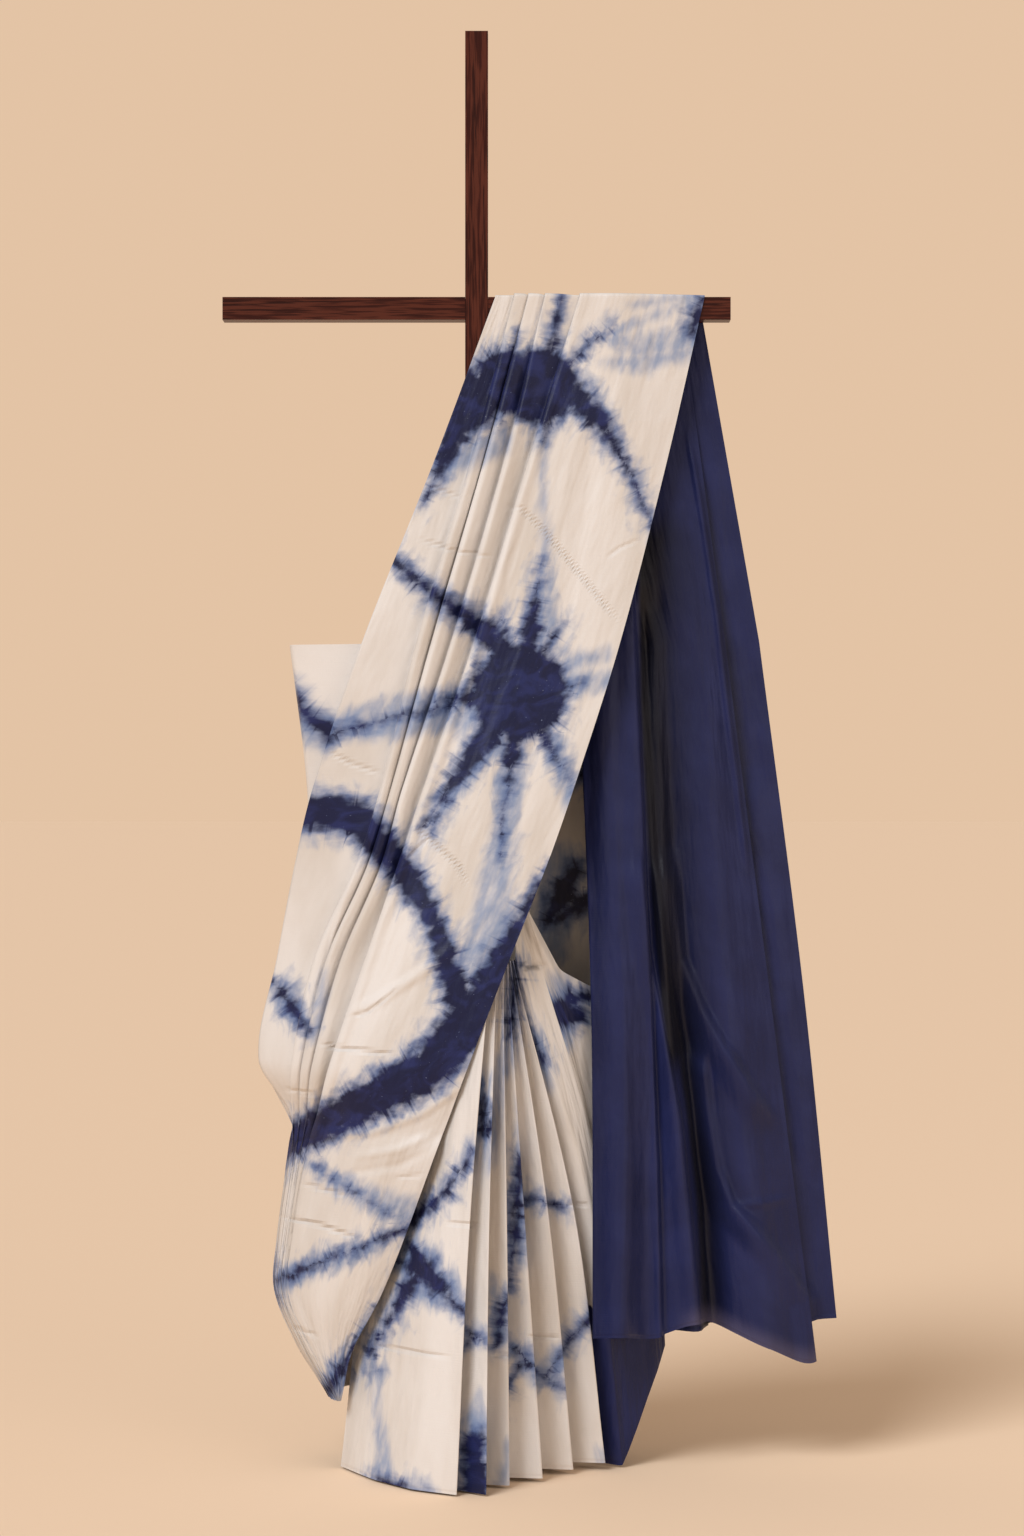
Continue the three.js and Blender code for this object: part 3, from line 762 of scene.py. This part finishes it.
def swell(points, swells):
    """Points moved towards the viewer on soft folds, and away in troughs."""
    spots = seen(points)
    moved = points.copy()
    for height, left, right, *line in swells:
        moved[..., 1] -= height * crest(spots, line, left, right)
    return moved


def creased(points, creases):
    """How high fine creases stand at each point."""
    spots = seen(points)
    made = np.zeros(spots.shape[:-1])
    for depth, *line in creases:
        made = np.maximum(made, depth * crest(spots, line, CREASE_WIDTH, CREASE_WIDTH))
    return made


def beyond(spots, line):
    """How far spots are outside a band, with the nearest places on its edge."""
    nearest, edge = np.full(spots.shape[:-1], FAR), spots.copy()
    for start, end in zip(line, line[1:]):
        span = np.subtract(end[:2], start[:2])
        share = np.clip((spots - start[:2]) @ span / max(span @ span, 1), 0, 1)
        middle = np.array(start[:2]) + share[..., None] * span
        away = spots - middle
        far = np.maximum(np.linalg.norm(away, axis=-1), 0.01)
        radius = mix(start[2], end[2], share)
        closer = far - radius < nearest
        nearest = np.where(closer, far - radius, nearest)
        edge = np.where(closer[..., None], middle + away * (radius / far)[..., None], edge)
    return nearest, edge


def dark_bands(area):
    """An area's dark bands, with those of its stars."""
    bands = [band[1:] for band in BANDS.get(area, ()) if band[0] == "dark"]
    for x, z, heart, rays in STARS.get(area, ()):
        bands.append(((x, z, heart), (x, z + 1, heart)))
        for turn, length, width in rays:
            angle = math.radians(turn)
            end = (x + length * math.cos(angle), z + length * math.sin(angle), STAR_TIP)
            bands.append(((x, z, width), end))
    return bands


def dye(points, areas):
    """Each point's distances to the dark and the pale dye, with the nearest place on the dark's edge."""
    spots = seen(points)
    dark = np.full(spots.shape[:-1], FAR)
    wash = dark.copy()
    root = spots.copy()
    for area in sorted({name for names in areas for name in names.split()}):
        mine = np.array([area in names.split() for names in areas])
        for band in dark_bands(area):
            far, edge = beyond(spots[:, mine], band)
            closer = far < dark[:, mine]
            root[:, mine] = np.where(closer[..., None], edge, root[:, mine])
            dark[:, mine] = np.minimum(dark[:, mine], far)
        for kind, *band in BANDS.get(area, ()):
            if kind == "wash":
                wash[:, mine] = np.minimum(wash[:, mine], beyond(spots[:, mine], band)[0])
    return {"dark": dark, "wash": wash, "root": np.insert(root, 2, 0, axis=-1)}


def cloth_places(points):
    """Places on the flat cloth: the distance across and down from a corner."""
    across = np.linalg.norm(np.diff(points, axis=1), axis=-1).mean(axis=0).cumsum()
    down = np.linalg.norm(np.diff(points, axis=0), axis=-1).mean(axis=1).cumsum()
    places = np.zeros(points.shape)
    places[:, 1:, 0] = across
    places[1:, :, 1] = down[:, None]
    return places


def new_mesh(name, points, values):
    """One sheet from rows of points in millimetres, with named values at its points."""
    rows, columns = points.shape[:2]
    number = np.arange(rows * columns).reshape(rows, columns)
    corners = [number[:-1, :-1], number[1:, :-1], number[1:, 1:], number[:-1, 1:]]
    faces = np.stack(corners, axis=-1).reshape(-1, 4)
    mesh = bpy.data.meshes.new(name)
    mesh.from_pydata((points.reshape(-1, 3) * MM).tolist(), [], faces.tolist())
    mesh.polygons.foreach_set("use_smooth", np.ones(len(faces), bool))
    mesh.update()
    for key, value in {**values, "cloth": cloth_places(points)}.items():
        value = np.broadcast_to(value, (rows, columns, *value.shape[2:]))
        kind, slot = ("FLOAT_VECTOR", "vector") if value.ndim == 3 else ("FLOAT", "value")
        made = mesh.attributes.new(key, kind, "POINT")
        made.data.foreach_set(slot, np.ascontiguousarray(value, np.float32).ravel())
    piece = bpy.data.objects.new(name, mesh)
    bpy.context.scene.collection.objects.link(piece)
    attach(piece, "root")
    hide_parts("saree_cloth")
    return piece


class Shading:
    """A material's nodes, each added by a short call that gives back its result."""

    def __init__(self, name):
        self.material = bpy.data.materials.new(name)
        self.material.use_nodes = True
        self.nodes, self.links = self.material.node_tree.nodes, self.material.node_tree.links
        self.shader = self.nodes["Principled BSDF"]

    def put(self, socket, value):
        if isinstance(value, bpy.types.NodeSocket):
            self.links.new(value, socket)
        else:
            socket.default_value = value

    def value(self, name, output="Fac"):
        node = self.nodes.new("ShaderNodeAttribute")
        node.attribute_name = name
        return node.outputs[output]

    def math(self, operation, *values):
        node = self.nodes.new("ShaderNodeMath")
        node.operation = operation
        for socket, value in zip(node.inputs, values):
            self.put(socket, value)
        return node.outputs["Value"]

    def noise(self, place, scale, detail=2.0, distortion=0.0):
        """Noise at a place, by one scale or by one for each axis."""
        if isinstance(scale, tuple):
            mapping = self.nodes.new("ShaderNodeMapping")
            self.put(mapping.inputs["Vector"], place)
            self.put(mapping.inputs["Scale"], scale)
            place, scale = mapping.outputs["Vector"], 1.0
        node = self.nodes.new("ShaderNodeTexNoise")
        self.put(node.inputs["Vector"], place)
        self.put(node.inputs["Scale"], scale)
        self.put(node.inputs["Detail"], detail)
        self.put(node.inputs["Distortion"], distortion)
        return node.outputs["Fac"]

    def reach(self, noise, middle, width):
        """A noise's distance from its middle, times a width."""
        return self.math("MULTIPLY", self.math("SUBTRACT", noise, middle), width)

    def between(self, value, low, high):
        """0 at low and 1 at high, smooth between."""
        node = self.nodes.new("ShaderNodeMapRange")
        node.interpolation_type = "SMOOTHSTEP"
        self.put(node.inputs["Value"], value)
        self.put(node.inputs["From Min"], min(low, high))
        self.put(node.inputs["From Max"], max(low, high))
        if low < high:
            return node.outputs["Result"]
        return self.math("SUBTRACT", 1.0, node.outputs["Result"])

    def blend(self, share, first, second):
        node = self.nodes.new("ShaderNodeMix")
        node.data_type = "RGBA"
        self.put(node.inputs["Factor"], share)
        for socket, colour in zip([s for s in node.inputs if s.type == "RGBA"], (first, second)):
            self.put(socket, colour)
        return [s for s in node.outputs if s.type == "RGBA"][0]

    def bump(self, height, distance, normal=None):
        node = self.nodes.new("ShaderNodeBump")
        self.put(node.inputs["Height"], height)
        self.put(node.inputs["Distance"], distance)
        if normal is not None:
            self.put(node.inputs["Normal"], normal)
        return node.outputs["Normal"]


def dyed_colour(silk, noises):
    """Ivory silk with a pale wash, a soft bleed and halo, and the dense blue's feathered edge."""
    def part(name, value):
        return silk.between(value, *TONE_RANGES[name])

    def patchy(name):
        least, added = TONE_SHARES[name]
        return silk.math("ADD", silk.math("MULTIPLY", patches, added), least)

    def moved(noise, name):
        return silk.reach(noises[noise], *EDGE_MOVES[name])

    needles = silk.math("ADD", moved("needles", "needles"), moved("fine_needles", "fine_needles"))
    needles = silk.math("MAXIMUM", silk.math("SUBTRACT", needles, NEEDLE_LOSS), 0.0)
    wandering = silk.math("ADD", silk.value("dark"), moved("wander", "wander"))
    dark = silk.math("SUBTRACT", wandering, needles)
    wash = silk.math("ADD", silk.value("wash"), moved("streaks", "wash"))
    bleed = silk.math("ADD", dark, moved("streaks", "bleed"))
    patches = part("patches", noises["patches"])
    colour = silk.blend(part("ageing", noises["ageing"]), IVORY, IVORY_WARM)
    colour = silk.blend(silk.math("MULTIPLY", part("wash", wash), patchy("wash")), colour, PALE_BLUE)
    colour = silk.blend(silk.math("MULTIPLY", part("bleed", bleed), BLEED_SHARE), colour, PALE_BLUE)
    colour = silk.blend(silk.math("MULTIPLY", part("halo", dark), patchy("halo")), colour, MIDDLE_BLUE)
    deep = silk.blend(part("depth", noises["depth"]), INDIGO, INDIGO_LIGHT)
    specks = silk.math("MULTIPLY", part("specks", noises["specks"]), SPECK_SHARE)
    dense = silk.math("MULTIPLY", part("dense", dark), silk.math("SUBTRACT", 1.0, specks))
    return silk.blend(dense, colour, deep)


def navy_colour(silk, noises):
    """The plain end's navy, with painted shade darkening its deep valleys, and paler where it is sheer.
    """
    depth = silk.between(noises["navy_depth"], *TONE_RANGES["navy_depth"])
    colour = silk.blend(depth, NAVY, NAVY_LIGHT)
    # Painted shade: the navy is darkened towards near-black along the deep valleys
    colour = silk.blend(silk.value("valley"), colour, NAVY_PAINTED_SHADE)
    return silk.blend(silk.math("MULTIPLY", silk.value("sheer"), SHEER_SHARE), colour, NAVY_SHEER)


def silk_material():
    """Ivory silk with feathered indigo dye, a plain navy end, fine weave and storage creases."""
    silk = Shading("dyed_silk")
    places = dict.fromkeys(SILK_NOISES, silk.value("cloth", "Vector"))
    places.update(dict.fromkeys(("needles", "fine_needles"), silk.value("root", "Vector")))
    noises = {name: silk.noise(places[name], *settings) for name, settings in SILK_NOISES.items()}
    edge = silk.math("ADD", silk.value("navy"), silk.reach(noises["navy_edge"], *EDGE_MOVES["navy"]))
    plain = silk.between(edge, *TONE_RANGES["navy"])
    colour = silk.blend(plain, dyed_colour(silk, noises), navy_colour(silk, noises))
    silk.put(silk.shader.inputs["Base Color"], colour)
    varies = silk.math("MULTIPLY", noises["gloss"], SILK_GLOSS["varies"])
    silk.put(silk.shader.inputs["Roughness"], silk.math("ADD", SILK_GLOSS["roughness"], varies))
    silk.put(silk.shader.inputs["Sheen Weight"], SILK_GLOSS["sheen"])
    silk.put(silk.shader.inputs["Sheen Roughness"], SILK_GLOSS["sheen_roughness"])
    silk.put(silk.shader.inputs["Specular IOR Level"], SILK_GLOSS["specular"])
    heights = {
        "soft_folds": noises["soft_folds"],
        "crease": silk.value("crease"),
        "hem": silk.between(silk.value("hem"), *TONE_RANGES["hem"]),
        "weave": silk.math("ADD", noises["slubs"], noises["threads"]),
    }
    normal = None
    for name, height in heights.items():
        normal = silk.bump(height, SILK_RELIEF[name], normal)
    silk.put(silk.shader.inputs["Normal"], normal)
    return silk.material


def wood_material(name, along):
    """Dark reddish wood with grain along a timber, varnished, and a little lighter at worn edges."""
    wood = Shading(name)
    place = wood.nodes.new("ShaderNodeTexCoord").outputs["Object"]
    stretch = tuple(GRAIN["along"] if axis == along else GRAIN["across"] for axis in "XYZ")
    grain = wood.noise(place, stretch, GRAIN["detail"], GRAIN["distortion"])
    fine = wood.noise(place, tuple(GRAIN["finer"] * s for s in stretch))
    colour = wood.blend(wood.between(grain, *WOOD_RANGES["grain"]), WOOD_DARK, WOOD_RED)
    edge = wood.nodes.new("ShaderNodeNewGeometry").outputs["Pointiness"]
    edge = wood.between(edge, *WOOD_RANGES["edge"])
    worn = wood.math("MULTIPLY", edge, wood.between(fine, *WOOD_RANGES["patches"]))
    colour = wood.blend(wood.math("MULTIPLY", worn, WORN_SHARE), colour, WOOD_WORN)
    wood.put(wood.shader.inputs["Base Color"], colour)
    varies = wood.math("MULTIPLY", fine, WOOD_GLOSS["varies"])
    wood.put(wood.shader.inputs["Roughness"], wood.math("ADD", WOOD_GLOSS["roughness"], varies))
    wood.put(wood.shader.inputs["Coat Weight"], WOOD_GLOSS["coat"])
    wood.put(wood.shader.inputs["Coat Roughness"], WOOD_GLOSS["coat_roughness"])
    wood.put(wood.shader.inputs["Specular IOR Level"], WOOD_GLOSS["specular"])
    wood.put(wood.shader.inputs["Normal"], wood.bump(wood.math("ADD", grain, fine), GRAIN["relief"]))
    return wood.material


def camera():
    data = bpy.data.cameras.new("camera")
    data.lens = CAMERA["lens"]
    data.sensor_width = CAMERA["sensor"]
    data.clip_end = CAMERA["clip_end"]
    made = bpy.data.objects.new("camera", data)
    made.location = [CAMERA[axis] * MM for axis in "xyz"]
    made.rotation_euler = (math.pi / 2, 0, 0)
    bpy.context.scene.collection.objects.link(made)
    bpy.context.scene.camera = made


def light(name, kind, place, aim, size, power, colour):
    """A soft light: a sun by its angle in degrees, or an area light by its side in metres."""
    data = bpy.data.lights.new(name, kind)
    if kind == "SUN":
        data.angle = math.radians(size)
    else:
        data.size = size
    data.energy = power
    data.color = colour
    made = bpy.data.objects.new(name, data)
    made.location = place
    made.rotation_euler = (Vector(aim) - Vector(place)).to_track_quat("-Z", "Y").to_euler()
    bpy.context.scene.collection.objects.link(made)


def floor():
    mesh = bpy.data.meshes.new("floor")
    half = FLOOR["half"]
    corners = [(-half, -half, 0), (half, -half, 0), (half, half, 0), (-half, half, 0)]
    mesh.from_pydata(corners, [], [(0, 1, 2, 3)])
    made = bpy.data.objects.new("floor", mesh)
    bpy.context.scene.collection.objects.link(made)
    ground = Shading("floor")
    ground.put(ground.shader.inputs["Base Color"], FLOOR["colour"])
    ground.put(ground.shader.inputs["Roughness"], FLOOR["roughness"])
    mesh.materials.append(ground.material)


def world():
    """Pale warm surroundings, dimmer and less warm as a light than as they are seen."""
    made = bpy.data.worlds.new("world")
    made.use_nodes = True
    nodes, links = made.node_tree.nodes, made.node_tree.links
    choice = nodes.new("ShaderNodeMix")
    choice.data_type = "RGBA"
    for socket, colour in zip([s for s in choice.inputs if s.type == "RGBA"], (WORLD_LIGHT, WORLD_SEEN)):
        socket.default_value = colour
    links.new(nodes.new("ShaderNodeLightPath").outputs["Is Camera Ray"], choice.inputs["Factor"])
    chosen = [s for s in choice.outputs if s.type == "RGBA"][0]
    links.new(chosen, nodes["Background"].inputs["Color"])
    bpy.context.scene.world = made


def panel_values(points, bar_rows):
    """The panel's dye and creases."""
    values = dye(points, ["panel"] * points.shape[1])
    values["crease"] = creased(points, PANEL_CREASES)
    values["crease"][:bar_rows] = 0
    values["hem"] = np.linspace(1, 0, len(points))[:, None] * (PANEL_TOP - PANEL_HEM)
    values["navy"] = np.full(points.shape[:2], -FAR)
    values["navy"][:bar_rows] = np.where(points[:bar_rows, :, 1] > TIMBER / 2 + 0.5, FAR, -FAR)
    return values


def drop_values(points, columns):
    """The plain end: navy all over, paler near the hem where it is a single sheer layer."""
    hem = np.linalg.norm(points - points[:1], axis=-1)
    single = ease((points[..., 0] - SINGLE_FROM) / SINGLE_FADE) * (columns.under >= 0)
    spots = seen(points)
    # Painted shade: how strongly the navy is darkened along the deep valleys
    valley = np.zeros(points.shape[:2])
    for strength, left, right, *line in DROP_VALLEY_SHADE:
        valley = np.maximum(valley, strength * crest(spots, line, left, right))
    return {
        "hem": hem,
        "valley": valley,
        "navy": np.full(points.shape[:2], FAR),
        "dark": np.full(points.shape[:2], FAR),
        "wash": np.full(points.shape[:2], FAR),
        "sheer": single * ease(1 - hem / SHEER_DEPTH),
    }


def wrap_values(points, areas, creases):
    """The wrap's dye, its creases, and the navy of the folds beside the plain end."""
    values = dye(points, areas)
    values["crease"] = creased(points, creases)
    values["hem"] = np.linalg.norm(points - points[-1:], axis=-1)
    beside = np.array(["navy" in names.split() for names in areas])
    values["navy"] = np.where(beside, NAVY_TOP - seen(points)[..., 1], -FAR)
    return values


bpy.context.scene.view_settings.view_transform = "Standard"
camera()
world()
floor()
for settings in LIGHTS:
    light(**settings)

silk = silk_material()
for node, shown in frame["nodes"].items():
    shown.data.materials.clear()
    wooden = node in WOOD_ALONG
    shown.data.materials.append(wood_material(node, WOOD_ALONG[node]) if wooden else silk)

heights = np.linspace(DROP_START - STEP, PANEL_HEM, int((DROP_START - PANEL_HEM) / STEP))
over_bar = bar_points()
panel_sheet = np.concatenate([over_bar, swell(panel_points(heights), PANEL_SWELLS)])
drop_sheet, drop_columns = drop_points(int((DROP_START - DROP_HEM) / STEP))
drop_sheet = swell(drop_sheet, DROP_SWELLS)

down = np.linspace(0, 1, ROWS_DOWN)
left_lines = wrap_lines(LOWER_TOP + (PANEL_HEM - LOWER_TOP) * down)
back_lines = fold_lines(BACK_FOLDS, down)
right_lines = fold_lines(SIDE_FOLDS, down) + fold_lines(FAN_FOLDS, down)
back_areas = ["corner"] * (len(left_lines) - 1) + ["back"] * len(back_lines)
front_areas = ["swag navy"] * len(SIDE_FOLDS) + ["fan " + face for face in FAN_FACES]
back_sheet, back_areas = across_lines([*left_lines, *back_lines], back_areas, SOFTEN_BACK)
front_sheet, front_areas = across_lines([back_lines[-1], *right_lines], front_areas, SOFTEN_FRONT)
front_sheet = swell(front_sheet, SWAG_SWELLS)

panel = new_mesh("saree_pleated_panel", panel_sheet, panel_values(panel_sheet, len(over_bar)))
drop = new_mesh("saree_plain_end", drop_sheet, drop_values(drop_sheet, drop_columns))
back = new_mesh("saree_back", back_sheet, wrap_values(back_sheet, back_areas, ()))
front = new_mesh("saree_front_pleats", front_sheet, wrap_values(front_sheet, front_areas, FAN_CREASES))

for piece in (panel, drop, back, front):
    piece.data.materials.append(silk)
